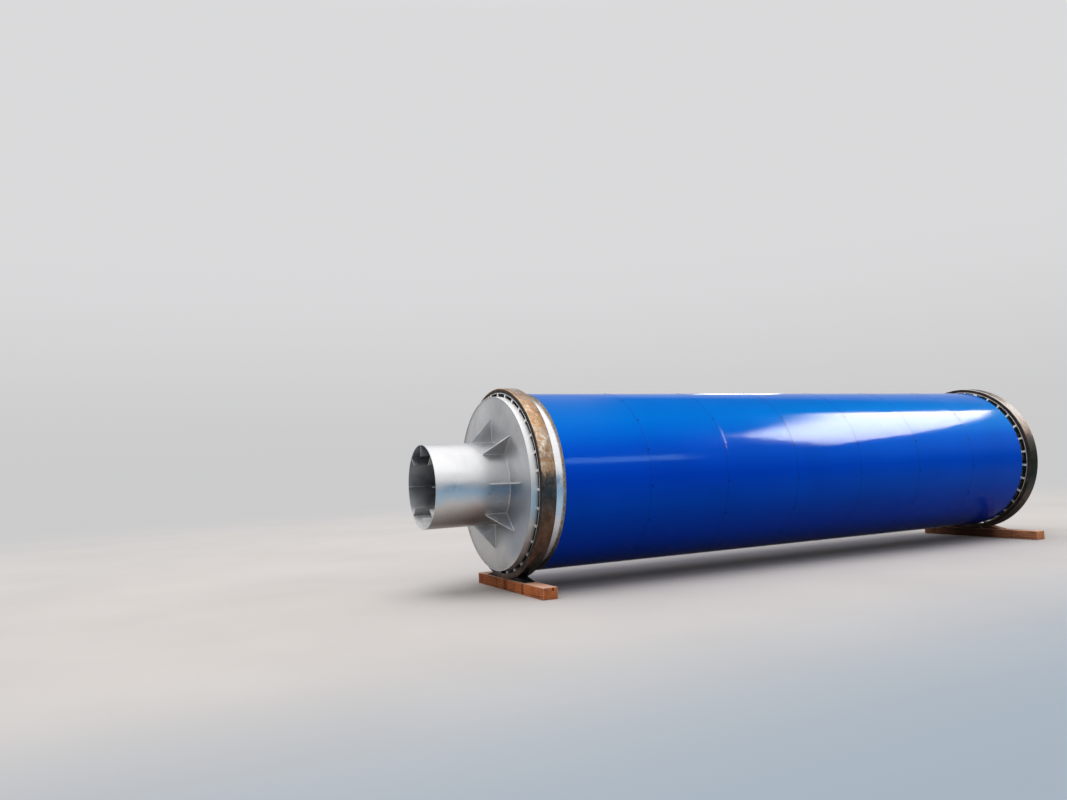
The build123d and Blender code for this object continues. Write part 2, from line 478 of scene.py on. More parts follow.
# What a finish leaves out is as in plainSteel; "stretch" is how finely the scratches run along X, Y and Z
plainSteel = {"filmAndPaintedLight": 0.0, "streaks": 0.05, "underside": 0.0, "dust": 0.0, "stain": 0.2, "metallic": 1.0}
steelFinishes = {
    "nozzleSteel": {
        "filmAndPaintedLight": 0.8, "streaks": 0.02, "underside": 0.85, "stain": 0.0,
        "stretch": (5.0, 70.0, 70.0), "cloudScale": 2.6, "dents": 0.01,
        "dark": (0.66, 0.66, 0.67), "light": (0.74, 0.74, 0.74), "roughness": (0.27, 0.36),
    },
    # the bore's steel is darker than the outside's: painted shade inside the nozzle and the shell
    "boreSteel": {
        "streaks": 0.06, "dust": 0.9, "stain": 0.5, "metallic": 0.9,
        "stretch": (5.0, 60.0, 60.0), "cloudScale": 6.0, "dents": 0.003,
        "dark": (0.2, 0.21, 0.225), "light": (0.34, 0.35, 0.365), "roughness": (0.35, 0.5),
    },
    "headSteel": {
        "stain": 0.25, "metallic": 0.85, "turned": 0.6, "shade": (0.63, 0.69, 0.77),
        "stretch": (30.0, 60.0, 3.0), "cloudScale": 1.4, "dents": 0.004,
        "dark": (0.5, 0.505, 0.52), "light": (0.68, 0.685, 0.695), "roughness": (0.38, 0.5),
    },
    "shellSteel": {
        "filmAndPaintedLight": 0.9, "streaks": 0.04, "underside": 0.35,
        "stretch": (90.0, 4.0, 4.0), "cloudScale": 5.0, "dents": 0.003,
        "dark": (0.74, 0.75, 0.77), "light": (0.92, 0.92, 0.93), "roughness": (0.2, 0.32),
    },
    # a lighter, more diffuse copy of the shell's steel for its bare rims: painted light
    "rimSteel": {
        "filmAndPaintedLight": 0.8, "underside": 0.75, "stain": 0.1, "metallic": 0.3,
        "stretch": (90.0, 4.0, 4.0), "cloudScale": 5.0, "dents": 0.003,
        "dark": (0.92, 0.925, 0.93), "light": (0.98, 0.98, 0.98), "roughness": (0.34, 0.46),
    },
    "plateSteel": {
        "underside": 0.3, "stain": 0.3, "metallic": 0.95,
        "stretch": (40.0, 40.0, 8.0), "cloudScale": 7.0, "dents": 0.002,
        "dark": (0.46, 0.465, 0.48), "light": (0.62, 0.625, 0.63), "roughness": (0.3, 0.45),
    },
    # near-white steel for the ends of the pads and ribs: painted light
    "padSteel": {
        "streaks": 0.08, "underside": 0.3, "metallic": 0.3, "sootAndShade": 0.5,
        "stretch": (8.0, 50.0, 50.0), "cloudScale": 16.0, "dents": 0.0015,
        "dark": (0.86, 0.87, 0.88), "light": (0.97, 0.97, 0.97), "roughness": (0.28, 0.4),
    },
    "seatSteel": {
        "streaks": 0.08, "underside": 0.8, "stain": 0.4, "metallic": 0.6, "sootAndShade": 0.94,
        "stretch": (8.0, 50.0, 50.0), "cloudScale": 16.0, "dents": 0.0015,
        "dark": (0.6, 0.6, 0.61), "light": (0.82, 0.82, 0.83), "roughness": (0.3, 0.45),
    },
}
steel = {name: makeStainless(name, {**plainSteel, **finish}) for name, finish in steelFinishes.items()}


# Weld metal: rippled, and darkened low down on the ring that runs round the head, as a painted shade
def makeWeldMetal():
    material, tree, skin, centred = startMaterial("weldMetal")
    marks = addMarks(tree, centred, (140.0, 140.0, 140.0), 25.0, 0.004)
    colour = addRamp(tree, marks["Clouds"], [
        (0.25, (0.45, 0.42, 0.39)), (0.5, (0.72, 0.72, 0.71)), (0.8, (0.9, 0.9, 0.89)),
    ])
    across = addStretch(tree, centred, (0, 1, 1))
    radius = addNode(tree, "VectorMath", {0: across}, operation="LENGTH").outputs["Value"]
    # painted shade: dark low down on the outer ring
    lowShade = addSmoothRange(tree, addPart(tree, centred, "Z"), 0.1, -0.5)
    lowShade = addTimes(tree, lowShade, addSmoothRange(tree, radius, 0.95, 1.1))
    colour = addOver(tree, colour, (0.16, 0.14, 0.13), lowShade, 0.88)
    fillInputs(tree, skin, {
        "Base Color": colour, "Roughness": addSpread(tree, marks["Scratches"], 0.28, 0.5),
        "Normal": marks["Normal"], "Metallic": 0.9,
    })
    return material


# Cladding sheet: blue gloss paint, faintly wavy along the drum. Its colour holds painted light and shade:
# lighter and greener where it faces up, darker where it faces down.
paintSettings = {
    # how far a face looks up, and its green and blue there: painted light and shade
    "tones": (
        (-1.0, 0.03, 0.3), (-0.86, 0.055, 0.62), (-0.7, 0.07, 0.84), (-0.3, 0.105, 0.92), (0.0, 0.08, 0.86),
        (0.33, 0.115, 0.86), (0.47, 0.165, 0.86), (0.64, 0.195, 0.8), (0.8, 0.17, 0.68), (1.0, 0.13, 0.58),
    ),
    "red": 0.0002,
    "paintedGlow": (1.0, 1.4, 1.1),  # painted glow: times the tone, towards the drum's rear
    "roughness": (0.08, 0.12), "dustRoughness": 0.06,
    "ridges": 0.0009, "swells": 0.003, "peel": 0.00001,
}


def makeBluePaint(settings):
    material, tree, skin, centred = startMaterial("bluePaint")
    up = addNormalUp(tree)
    low, high = settings["tones"][0][0], settings["tones"][-1][0]
    stops = [((place - low) / (high - low), (settings["red"], *tone)) for place, *tone in settings["tones"]]
    colour = addRamp(tree, addRange(tree, up, low, high), stops)
    colour = addTint(tree, colour, addSpread(tree, addNoise(tree, centred, 0.9, 3, 0.5), 0.93, 1.05))
    # a painted glow, greener towards the drum's rear on faces that look level or up
    paintedGlow = addSmoothRange(tree, addPart(tree, centred, "X"), -2.5, 2.0)
    paintedGlow = addTimes(tree, paintedGlow, addSmoothRange(tree, up, -0.7, 0.4))
    paintedGlow = addTimes(tree, paintedGlow, addSmoothRange(tree, up, 0.95, 0.6))
    colour = addMix(tree, paintedGlow, colour, addTint(tree, colour, settings["paintedGlow"]))
    dust = addTimes(tree, addPatches(tree, centred, 2.6, 0.52, 0.2), addSmoothRange(tree, up, 0.6, 1.0))
    ridges = addNoise(tree, addStretch(tree, centred, (0.22, 5.5, 5.5)), 1.0, 3, 0.5)
    swells = addNoise(tree, addStretch(tree, centred, (1.1, 1.6, 1.6)), 1.0, 1, 0.4)
    peel = addNoise(tree, centred, 260.0, 1, 0.4)
    height = addTimes(tree, ridges, settings["ridges"])
    height = addSum(tree, height, addTimes(tree, swells, settings["swells"]))
    height = addSum(tree, height, addTimes(tree, peel, settings["peel"]))
    streaks = addNoise(tree, addStretch(tree, centred, (0.8, 9.0, 9.0)), 1.0, 4, 0.6)
    rough = addSpread(tree, streaks, *settings["roughness"])
    rough = addSum(tree, rough, addTimes(tree, dust, settings["dustRoughness"]))
    fillInputs(tree, skin, {
        "Base Color": colour, "Roughness": rough, "Normal": addBump(tree, height, 1.0),
        "Specular IOR Level": 0.035, "Specular Tint": (0.45, 0.85, 1.0),
    })
    return material


# Matt paint on the rivets' washers, and in the seams as a painted shade line, both darker than the sheet's
def makeMattPaint(name, dark, light):
    material, tree, skin, centred = startMaterial(name)
    shade = addSpread(tree, addNoise(tree, centred, 120.0, 3, 0.6))
    fillInputs(tree, skin, {
        "Base Color": addMix(tree, shade, dark, light), "Roughness": addRange(tree, shade, 0, 1, 0.45, 0.6),
        "Specular IOR Level": 0.02,
    })
    return material


# Dark oxide under the tyres, made near-black as a painted shade
def makeSeatOxideAndShade():
    material, tree, skin, centred = startMaterial("seatOxideAndShade")
    patches = addPatches(tree, centred, 14.0, 0.56, 0.1)
    grit = addNoise(tree, centred, 160.0, 4, 0.6)
    fillInputs(tree, skin, {
        "Base Color": addMix(tree, patches, (0.016, 0.018, 0.02), (0.05, 0.038, 0.028)),
        "Roughness": addSpread(tree, grit, 0.6, 0.8), "Normal": addBump(tree, grit, 0.0015), "Metallic": 0.2,
    })
    return material


def addLowShade(tree, centred):
    # 1 on the lowest part of the drum's ends, where a painted shade darkens them
    return addSmoothRange(tree, addPart(tree, centred, "Z"), -0.5, -1.05)


# Zinc-coated sheet of the closing rings, with tan and dark specks, and darker low down as a painted shade
def makeZinc():
    material, tree, skin, centred = startMaterial("zincSheet")
    spangle = addNode(tree, "TexVoronoi", {"Vector": centred, "Scale": 55.0}).outputs["Color"]
    grey = addNode(tree, "SeparateColor", {0: spangle}).outputs[0]
    colour = addRamp(tree, grey, [(0.0, (0.5, 0.52, 0.55)), (1.0, (0.82, 0.82, 0.81))])
    tan = addPatches(tree, centred, 16.0, 0.5, 0.06)
    colour = addOver(tree, colour, (0.58, 0.42, 0.25), tan, 0.8)
    sootAndShade = addPatches(tree, centred, 31.0, 0.6, 0.03)
    colour = addOver(tree, colour, (0.05, 0.055, 0.07), sootAndShade, 0.85)
    low = addLowShade(tree, centred)
    colour = addOver(tree, colour, (0.03, 0.03, 0.035), low, 0.85)
    wornAndShaded = addMath(tree, "MAXIMUM", addMath(tree, "MAXIMUM", tan, sootAndShade), low)
    fillInputs(tree, skin, {
        "Base Color": colour, "Roughness": addRange(tree, grey, 0, 1, 0.35, 0.5),
        "Metallic": addRange(tree, wornAndShaded, 0, 1, 0.8, 0.1),
    })
    return material


# Mineral wool, seen between the tabs of the closing rings, darker low down as a painted shade
def makeWool():
    material, tree, skin, centred = startMaterial("mineralWool")
    fibres = addNoise(tree, addStretch(tree, centred, (40, 160, 160)), 1.0, 5, 0.7, 1.5)
    lumps = addSpread(tree, addNoise(tree, centred, 30.0, 3), 0.7, 1.25)
    colour = addRamp(tree, addTimes(tree, fibres, lumps), [
        (0.2, (0.3, 0.2, 0.1)), (0.5, (0.62, 0.46, 0.26)), (0.75, (0.85, 0.72, 0.5)),
    ])
    colour = addOver(tree, colour, (0.035, 0.028, 0.02), addLowShade(tree, centred), 0.8)
    fillInputs(tree, skin, {
        "Base Color": colour, "Normal": addBump(tree, fibres, 0.006),
        "Roughness": 0.95, "Sheen Weight": 0.3,
    })
    return material


# Tyre steel: machined, then left to rust. Faces that look up are rust, and those that look down a dark
# oily film; the split is partly painted light and shade. "tones" are how far a face looks up, and what its
# colour is multiplied by there: painted highlights and shade.
tyreFinishes = {
    "frontTread": {
        "rust": ((0.3, 0.19, 0.11), (0.48, 0.32, 0.19), (0.64, 0.47, 0.32), (0.78, 0.66, 0.52)),
        "filmAndPaintedLight": ((0.045, 0.034, 0.026), (0.07, 0.05, 0.036), (0.1, 0.068, 0.048), (0.14, 0.095, 0.066)),
        "tones": (
            (-1.0, (0.3, 0.4, 0.6)), (-0.82, (0.3, 0.42, 0.52)), (-0.71, (1.25, 1.1, 1.0)),
            (-0.5, (1.4, 1.0, 0.85)), (-0.3, (1.2, 1.1, 1.0)), (-0.1, (0.55, 1.1, 1.8)),
            (0.02, (0.9, 1.2, 1.5)), (0.1, (1.4, 1.4, 1.4)), (0.26, (0.65, 0.7, 0.8)),
            (0.38, (1.2, 1.5, 1.95)), (0.46, (1.25, 1.55, 2.05)), (0.57, (1.12, 1.05, 0.96)),
            (0.8, (1.08, 1.15, 1.28)), (0.91, (0.48, 0.44, 0.43)), (1.0, (0.68, 0.76, 0.95)),
        ),
        "metallic": 0.9, "spots": 0.75, "roughness": (0.26, 0.38), "specular": 0.5,
    },
    "rearTread": {
        "rust": ((0.58, 0.54, 0.49), (0.62, 0.58, 0.53), (0.65, 0.61, 0.56), (0.67, 0.63, 0.59)),
        "filmAndPaintedLight": ((0.05, 0.05, 0.045), (0.07, 0.066, 0.058), (0.09, 0.08, 0.068), (0.12, 0.1, 0.08)),
        "tones": (
            (-1.0, (0.01, 0.02, 0.05)), (-0.82, (0.02, 0.04, 0.07)), (-0.71, (0.8, 0.72, 0.66)),
            (-0.57, (3.2, 2.6, 2.3)), (-0.42, (1.9, 2.0, 2.0)), (-0.26, (0.5, 0.9, 0.9)),
            (-0.09, (0.5, 0.66, 0.6)), (0.06, (0.24, 0.26, 0.26)), (0.2, (0.26, 0.25, 0.24)),
            (0.28, (0.46, 0.4, 0.38)), (0.38, (1.02, 0.9, 0.86)), (0.5, (1.4, 1.36, 1.33)),
            (0.6, (1.48, 1.48, 1.52)), (0.71, (1.49, 1.54, 1.58)), (0.8, (0.8, 0.75, 0.73)),
            (0.91, (0.3, 0.28, 0.3)), (1.0, (0.08, 0.09, 0.1)),
        ),
        "metallic": 0.0, "spots": 0.2, "roughness": (0.3, 0.4), "specular": 0.01,
    },
    # the flank's rust is made dark as a painted shade
    "rustyFlank": {
        "rust": ((0.03, 0.02, 0.015), (0.07, 0.042, 0.028), (0.13, 0.08, 0.05), (0.22, 0.14, 0.09)),
        "filmAndPaintedLight": ((0.015, 0.012, 0.01), (0.03, 0.022, 0.018), (0.05, 0.036, 0.027), (0.09, 0.06, 0.045)),
        "tones": ((-1.0, (1.0, 1.0, 1.0)), (1.0, (1.0, 1.0, 1.0))),
        "metallic": 0.5, "spots": 0.75, "roughness": (0.45, 0.65), "specular": 0.5,
    },
}


def makeTyreSteel(name, finish):
    material, tree, skin, centred = startMaterial(name)
    turned = addNoise(tree, addStretch(tree, centred, (170.0, 2.5, 2.5)), 1.0, 3, 0.6)
    speckle = addNoise(tree, centred, 38.0, 5, 0.7, 0.8)
    cloud = addNoise(tree, addStretch(tree, centred, (9.0, 7.0, 7.0)), 1.0, 6, 0.68, 0.5)
    places = (0.3, 0.45, 0.56, 0.7)
    rust = addRamp(tree, cloud, list(zip(places, finish["rust"])))
    filmAndPaintedLight = addRamp(tree, cloud, list(zip(places, finish["filmAndPaintedLight"])))
    spots = addPatches(tree, centred, 15.0, 0.54, 0.06)
    rust = addOver(tree, rust, (0.5, 0.22, 0.07), spots, finish["spots"])
    ragged = addSum(tree, addNormalUp(tree), addSpread(tree, cloud, -0.06, 0.06))
    colour = addMix(tree, addSmoothRange(tree, ragged, -0.06, 0.3), filmAndPaintedLight, rust)
    stops = [((place + 1) / 2, tone) for place, tone in finish["tones"]]
    colour = addTint(tree, colour, addRamp(tree, addRange(tree, ragged, -1, 1), stops))
    pits = addPatches(tree, centred, 27.0, 0.63, 0.04)
    colour = addOver(tree, colour, (0.05, 0.03, 0.02), pits, 0.6)
    colour = addTint(tree, colour, addSpread(tree, turned, 0.88, 1.1))
    rough = addSum(tree, addSpread(tree, speckle, *finish["roughness"]), addTimes(tree, spots, 0.15))
    height = addSum(tree, addTimes(tree, speckle, 0.6), addTimes(tree, turned, 0.25))
    fillInputs(tree, skin, {
        "Base Color": colour, "Roughness": rough, "Normal": addBump(tree, height, 0.0012),
        "Metallic": addTimes(tree, addRange(tree, spots, 0, 1, 1.0, 0.56), finish["metallic"]),
        "Specular IOR Level": finish["specular"],
    })
    return material


# Sawn timber: growth rings about the beam's length, saw marks across it, dirt, knots and cracks
def makeTimber(name, ringCentre, dark, light, stretches, bleach=0.0):
    material, tree, skin, _ = startMaterial(name)
    place = addNode(tree, "TexCoord").outputs["Object"]
    centred = addNode(tree, "Mapping", {"Vector": place, "Location": ringCentre}).outputs[0]
    waver = addNode(tree, "TexNoise", {
        "Vector": addStretch(tree, centred, (6.0, 0.9, 6.0)), "Scale": 1.0, "Detail": 2.0,
    }).outputs["Color"]
    bent = addNode(tree, "VectorMath", {
        0: addStretch(tree, centred, (1.0, 0.06, 1.0)), 1: addStretch(tree, waver, (0.03, 0.03, 0.03)),
    }, operation="ADD").outputs[0]
    rings = addNode(tree, "TexWave", {
        "Vector": bent, "Scale": 24.0, "Distortion": 1.6, "Detail": 2.0, "Detail Scale": 1.2,
    }, wave_type="RINGS", rings_direction="Y").outputs["Fac"]
    fibre = addNoise(tree, addStretch(tree, centred, (190.0, 5.0, 190.0)), 1.0, 4, 0.65)
    grain = addSum(tree, addTimes(tree, rings, 0.36), addTimes(tree, fibre, 0.64))
    between = tuple((a + b) / 2 for a, b in zip(dark, light))
    colour = addRamp(tree, grain, [(0.2, dark), (0.5, between), (0.8, light)])
    y = addSum(tree, addPart(tree, centred, "Y"), addTimes(tree, addNoise(tree, centred, 9.0, 2), 0.03))
    # painted shade and dark joints: the beam lighter and darker in stretches along Y
    stops = [((at + 1.4) / 2.5, tone) for at, tone in stretches]
    colour = addTint(tree, colour, addGreyRamp(tree, addRange(tree, y, -1.4, 1.1), stops))
    stain = addPatches(tree, centred, 3.4, 0.58, 0.1)
    colour = addOver(tree, colour, (0.09, 0.04, 0.025), stain, 0.6)
    knotMap = addStretch(tree, centred, (5.0, 2.2, 5.0))
    knot = addNode(tree, "TexVoronoi", {"Vector": knotMap, "Scale": 1.0}).outputs["Distance"]
    colour = addOver(tree, colour, (0.07, 0.03, 0.018), addRange(tree, knot, 0.16, 0.07), 0.8)
    saw = addNode(tree, "TexWave", {
        "Vector": centred, "Scale": 34.0, "Distortion": 2.2, "Detail": 2.0,
    }, bands_direction="Y").outputs["Fac"]
    cracks = addNoise(tree, addStretch(tree, centred, (34.0, 1.1, 34.0)), 1.0, 2, 0.5, 0.6)
    cracks = addRange(tree, cracks, 0.69, 0.72)
    colour = addMix(tree, cracks, colour, (0.03, 0.015, 0.01))
    # faces that look up are paler: bleaching, and a painted light
    bleachAndPaintedLight = addSum(tree, addTimes(tree, addSmoothRange(tree, addNormalUp(tree), 0.3, 0.95), 0.7), bleach)
    colour = addMix(tree, bleachAndPaintedLight, colour, (0.96, 0.64, 0.48))
    height = addSum(tree, addTimes(tree, grain, 0.5), addTimes(tree, saw, 0.08))
    height = addMath(tree, "SUBTRACT", height, addTimes(tree, cracks, 1.4))
    fillInputs(tree, skin, {
        "Base Color": colour, "Roughness": addRange(tree, grain, 0.2, 0.8, 0.9, 0.72),
        "Normal": addBump(tree, height, 0.0022), "Specular IOR Level": 0.2,
    })
    return material


# Rubber of the front chocks: black, dusty and scuffed
def makeRubber():
    material, tree, skin, centred = startMaterial("chockRubber")
    dust = addPatches(tree, centred, 11.0, 0.53, 0.14)
    colour = addOver(tree, (0.006, 0.006, 0.007), (0.03, 0.028, 0.026), dust, 0.55)
    grit = addNoise(tree, centred, 420.0, 3, 0.6)
    fillInputs(tree, skin, {
        "Base Color": colour, "Roughness": addRange(tree, dust, 0, 1, 0.55, 0.8),
        "Normal": addBump(tree, grit, 0.0006), "Specular IOR Level": 0.2,
    })
    return material


weldMetal = makeWeldMetal()
bluePaint = makeBluePaint(paintSettings)
seamShadePaint = makeMattPaint("seamShadePaint", (0.0003, 0.045, 0.4), (0.0003, 0.065, 0.55))
washerPaint = makeMattPaint("washerPaint", (0.0004, 0.012, 0.1), (0.0006, 0.022, 0.18))
seatOxideAndShade = makeSeatOxideAndShade()
zincSheet = makeZinc()
mineralWool = makeWool()
tyreSteel = {name: makeTyreSteel(name, finish) for name, finish in tyreFinishes.items()}
chockRubber = makeRubber()
print("materials built")


# Ways of shaping that several pieces share
def lathe(bm, outline, steps):
    # turns a closed outline of (x, radius) points once round the drum's axis
    points = [bm.verts.new((x, 0, axisHeight + radius)) for x, radius in outline]
    sides = [bm.edges.new((points[k - 1], points[k])) for k in range(len(points))]
    bmesh.ops.spin(bm, geom=points + sides, cent=axisPoint, axis=(1, 0, 0), dvec=(0, 0, 0),
                   angle=2 * math.pi, steps=steps, use_merge=True)
    bmesh.ops.remove_doubles(bm, verts=bm.verts, dist=1e-6)
    bmesh.ops.recalc_face_normals(bm, faces=bm.faces)


def ringOutline(oneX, otherX, inner, outer):
    low, high = sorted((oneX, otherX))
    return [(low, inner), (high, inner), (high, outer), (low, outer)]


def liftFace(bm, face, step):
    # draws a face out by a step, with walls behind it
    made = bmesh.ops.extrude_face_region(bm, geom=[face])
    lifted = [g for g in made["geom"] if isinstance(g, bmesh.types.BMVert)]
    bmesh.ops.translate(bm, verts=lifted, vec=step)


def soften(bm, width, segments=2, corner=35):
    rims = [e for e in bm.edges if e.is_manifold and e.calc_face_angle(0) > math.radians(corner)]
    bmesh.ops.bevel(bm, geom=rims, offset=width, segments=segments, profile=0.5,
                    affect="EDGES", material=-1, clamp_overlap=True)


def turnPiece(outline, settings):
    # a closed outline turned about the drum's axis, with softened edges
    bm = bmesh.new()
    lathe(bm, outline, settings["steps"])
    soften(bm, settings["edge"])
    return bm


def looksAlong(face):
    # whether a face looks along the drum, as the end faces of round pieces do
    return abs(face.normal.x) > 0.9


def markBore(bm, radius):
    # gives the faces that line a bore of this radius the piece's second material
    for face in bm.faces:
        middle = face.calc_center_median()
        if math.hypot(middle.y, middle.z - axisHeight) < radius + 0.0004:
            face.material_index = 1


def markSides(bm, share):
    # gives the faces that look away from the drum's length the piece's second material
    for face in bm.faces:
        if abs(face.normal.x) < share:
            face.material_index = 1


def aroundAxis(angle):
    # turns about the drum's axis: 0 leaves +Z up, and a positive angle goes from +Y towards +Z
    return Matrix.Translation(axisPoint) @ Matrix.Rotation(math.radians(angle), 4, "X")


def outward(point):
    # the way from the drum's axis to a point, of length 1
    return (point - Vector((point.x, 0, axisHeight))).normalized()


def makePiece(bm, name, materials, nodes=(), smooth=35):
    mesh = bpy.data.meshes.new(name)
    bm.to_mesh(mesh)
    bm.free()
    mesh.polygons.foreach_set("use_smooth", [True] * len(mesh.polygons))
    mesh.set_sharp_from_angle(angle=math.radians(smooth))
    for material in materials:
        mesh.materials.append(material)
    piece = bpy.data.objects.new(name, mesh)
    bpy.context.scene.collection.objects.link(piece)
    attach(piece, "root")
    if nodes:
        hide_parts(*nodes)
    return piece


def addBlock(bm, matrix, size):
    bmesh.ops.create_cube(bm, size=1.0, matrix=matrix @ Matrix.Diagonal((*size, 1)))


def addBead(bm, start, stop, radius, cuts=10, lumps=0.18):
    # one weld bead between two points, lumpy along its length
    along = stop - start
    turn = along.to_track_quat("Z", "Y").to_matrix().to_4x4()
    made = bmesh.ops.create_cone(bm, cap_ends=True, segments=7, radius1=radius, radius2=radius,
                                 depth=along.length, matrix=Matrix.Translation((start + stop) / 2) @ turn)
    sides = dict.fromkeys(e for v in made["verts"] for e in v.link_edges)
    rails = [e for e in sides if abs(e.calc_length() - along.length) < 1e-4]
    cut = bmesh.ops.subdivide_edges(bm, edges=rails, cuts=cuts)
    fresh = [g for g in cut["geom_inner"] if isinstance(g, bmesh.types.BMVert)]
    for vert in fresh:
        middle = start + along * ((vert.co - start).dot(along) / along.length_squared)
        swell = 1 + lumps * noise.noise(middle * 90)
        vert.co = middle + (vert.co - middle) * swell


def addFootBeads(bm, turn, span, radius, width, bead, cuts):
    # beads along both sides of a flat bar's foot, which lies at this radius
    for across in (-width / 2, width / 2):
        start, stop = (turn @ Vector((x, radius, across)) for x in span)
        addBead(bm, start, stop, bead, cuts)


# Drum shell: one long tube, bare at both ends and under the tyres
shellSettings = {"wall": 0.016, "steps": 288, "edge": 0.0015}


def makeShell(settings):
    inner = shellRadius - settings["wall"]
    shaded = [endBox(end, "tyre")[:2] for end in ends]
    cuts = [(ends[end] * x, shellRadius) for end, span in zip(ends, shaded) for x in span]
    outline = ringOutline(shellLow.x, shellHigh.x, inner, shellRadius)
    outline[3:3] = sorted(cuts, reverse=True)
    bm = turnPiece(outline, settings)
    markBore(bm, inner)
    near, far = shaded[0]
    # under the tyres the shell takes the near-black oxide, a painted shade; past them the lighter rim steel,
    # a painted light
    for face in bm.faces:
        away = abs(face.calc_center_median().x)
        if away > near and face.material_index == 0:
            face.material_index = 2 if away < far else 3
        if looksAlong(face):
            face.material_index = 4
    skins = [steel["shellSteel"], steel["boreSteel"], seatOxideAndShade, steel["rimSteel"], steel["headSteel"]]
    makePiece(bm, "shellTube", skins, ["drum_shell"])


makeShell(shellSettings)

# Cladding: seven bands of thin sheet, each lapped over the one before it, with painted seam shade at its
# edge
claddingSettings = {
    "bands": 7, "rows": 26, "steps": 320, "sheet": 0.0012,
    "sunk": 0.0008,  # how far a sheet lies inside its node, which the lapped part stands out of
    "seam": 0.005, "lap": 0.042, "joggle": 0.008, "lapRise": 0.0011, "support": 0.003,
    "underlap": 0.9,  # how much of the next band's lap a sheet reaches under
    "wave": 0.0006, "waveScale": 1.1, "waveShift": 7.3, "waveLevel": 0.35,
    "waveFades": 0.4,  # how far from a band's ends the waves are full
}


def bandBox(number):
    # a band's two corners, and the radius of its sheet
    low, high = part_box(f"cladding_band_{number}")
    return low, high, (high.z - low.z) / 2 - claddingSettings["sunk"]


def makeCladdingBand(number, settings):
    low, high, outer = bandBox(number)
    isFirst = number == 1
    isLast = number == settings["bands"]
    length = high.x - low.x
    lap, support = settings["lap"], settings["support"]
    joggleEnd = lap + settings["joggle"]
    rows = settings["rows"]
    places = [0.0, support, lap - support, lap, joggleEnd, joggleEnd + support]
    places += [joggleEnd + (length - joggleEnd) * k / rows for k in range(1, rows + 1)]
    if not isLast:
        places[-1:] = [length - settings["seam"], length, length + lap * settings["underlap"]]
    top = []
    for place in places:
        rise = settings["lapRise"] if place <= lap + 1e-6 and not isFirst else 0.0
        top.append((low.x + place, outer + rise))
    under = [top[-1]] + top[5::-1]  # the underside has the lap's places and no rows
    bottom = [(x, radius - settings["sheet"]) for x, radius in under]
    bm = bmesh.new()
    lathe(bm, top + bottom, settings["steps"])
    for vert in bm.verts:
        inset = min(vert.co.x - low.x, high.x - vert.co.x)
        free = max(0.0, min(1.0, inset / settings["waveFades"]))
        free = free * free * (3 - 2 * free)
        seed = vert.co * settings["waveScale"] + Vector((number * settings["waveShift"], 0, 0))
        wave = outward(vert.co) * (noise.noise(seed) - settings["waveLevel"])
        vert.co += wave * settings["wave"] * free
    # painted shade: the strip before the next band's lap, and the cut ends, take the darker seam paint
    seamStart = high.x - settings["seam"]
    for face in bm.faces:
        isSeam = seamStart < face.calc_center_median().x < high.x and not isLast
        if looksAlong(face) or isSeam:
            face.material_index = 1
    skins = [bluePaint, seamShadePaint]
    sheet = makePiece(bm, f"claddingSheet{number}", skins, [f"cladding_band_{number}"], 25)
    glossPieces.objects.link(sheet)


for bandNumber in range(1, claddingSettings["bands"] + 1):
    makeCladdingBand(bandNumber, claddingSettings)
print("shell and cladding built")

# Pop rivets along each lap: a dished head on a darker washer
rivetSettings = {
    "count": 16, "startAngle": -28.1, "inset": 0.018, "radius": 0.0085, "height": 0.005,
    "dish": 0.002, "scatter": 0.6, "washer": 0.0165, "washerRise": 0.0016, "washerLip": 0.004,
}


def makeRivets(settings):
    heads = bmesh.new()
    washers = bmesh.new()
    flat = Matrix.Diagonal((1, 1, settings["height"] / settings["radius"], 1))
    for number in range(2, claddingSettings["bands"] + 1):
        low, _, radius = bandBox(number)
        seat = radius + claddingSettings["lapRise"]
        for k in range(settings["count"]):
            angle = settings["startAngle"] + k * 360 / settings["count"]
            angle += random.uniform(-1, 1) * settings["scatter"]
            spot = aroundAxis(-angle) @ Matrix.Translation((low.x + settings["inset"], -seat, 0))
            spot = spot @ Matrix.Rotation(math.radians(90), 4, "X")
            made = bmesh.ops.create_uvsphere(heads, u_segments=12, v_segments=6,
                                             radius=settings["radius"], matrix=spot @ flat)
            pole = max(made["verts"], key=lambda v: (v.co - axisPoint).length)
            pole.co -= outward(pole.co) * settings["dish"]
            bmesh.ops.create_cone(washers, cap_ends=True, segments=16, radius1=settings["washer"],
                                  radius2=settings["washer"] - settings["washerLip"],
                                  depth=2 * settings["washerRise"], matrix=spot)
    glossPieces.objects.link(makePiece(heads, "claddingRivets", [bluePaint], smooth=60))
    makePiece(washers, "rivetWashers", [washerPaint], smooth=30)


makeRivets(rivetSettings)


# Tyres: heavy rings with a chamfer along both edges of the running face
tyreSettings = {"depth": 0.060, "chamfer": 0.009, "edge": 0.0016, "steps": 320}


def makeTyre(end, settings):
    near, far, outer = endBox(end, "tyre")
    inner = outer - settings["depth"]
    cut = settings["chamfer"]
    outline = [
        (near, inner), (far, inner), (far, outer - cut), (far - cut, outer),
        (near + cut, outer), (near, outer - cut),
    ]
    bm = turnPiece([(ends[end] * x, radius) for x, radius in outline], settings)
    # the end faces take the dark flank finish: painted shade
    for face in bm.faces:
        if looksAlong(face):
            face.material_index = 1
    skins = [tyreSteel[end + "Tread"], tyreSteel["rustyFlank"]]
    makePiece(bm, end + "TyreRing", skins, [end + "_tyre"])


# Seat band under the tyre
seatSettings = {"band": 0.012, "edge": 0.0012, "steps": 288}


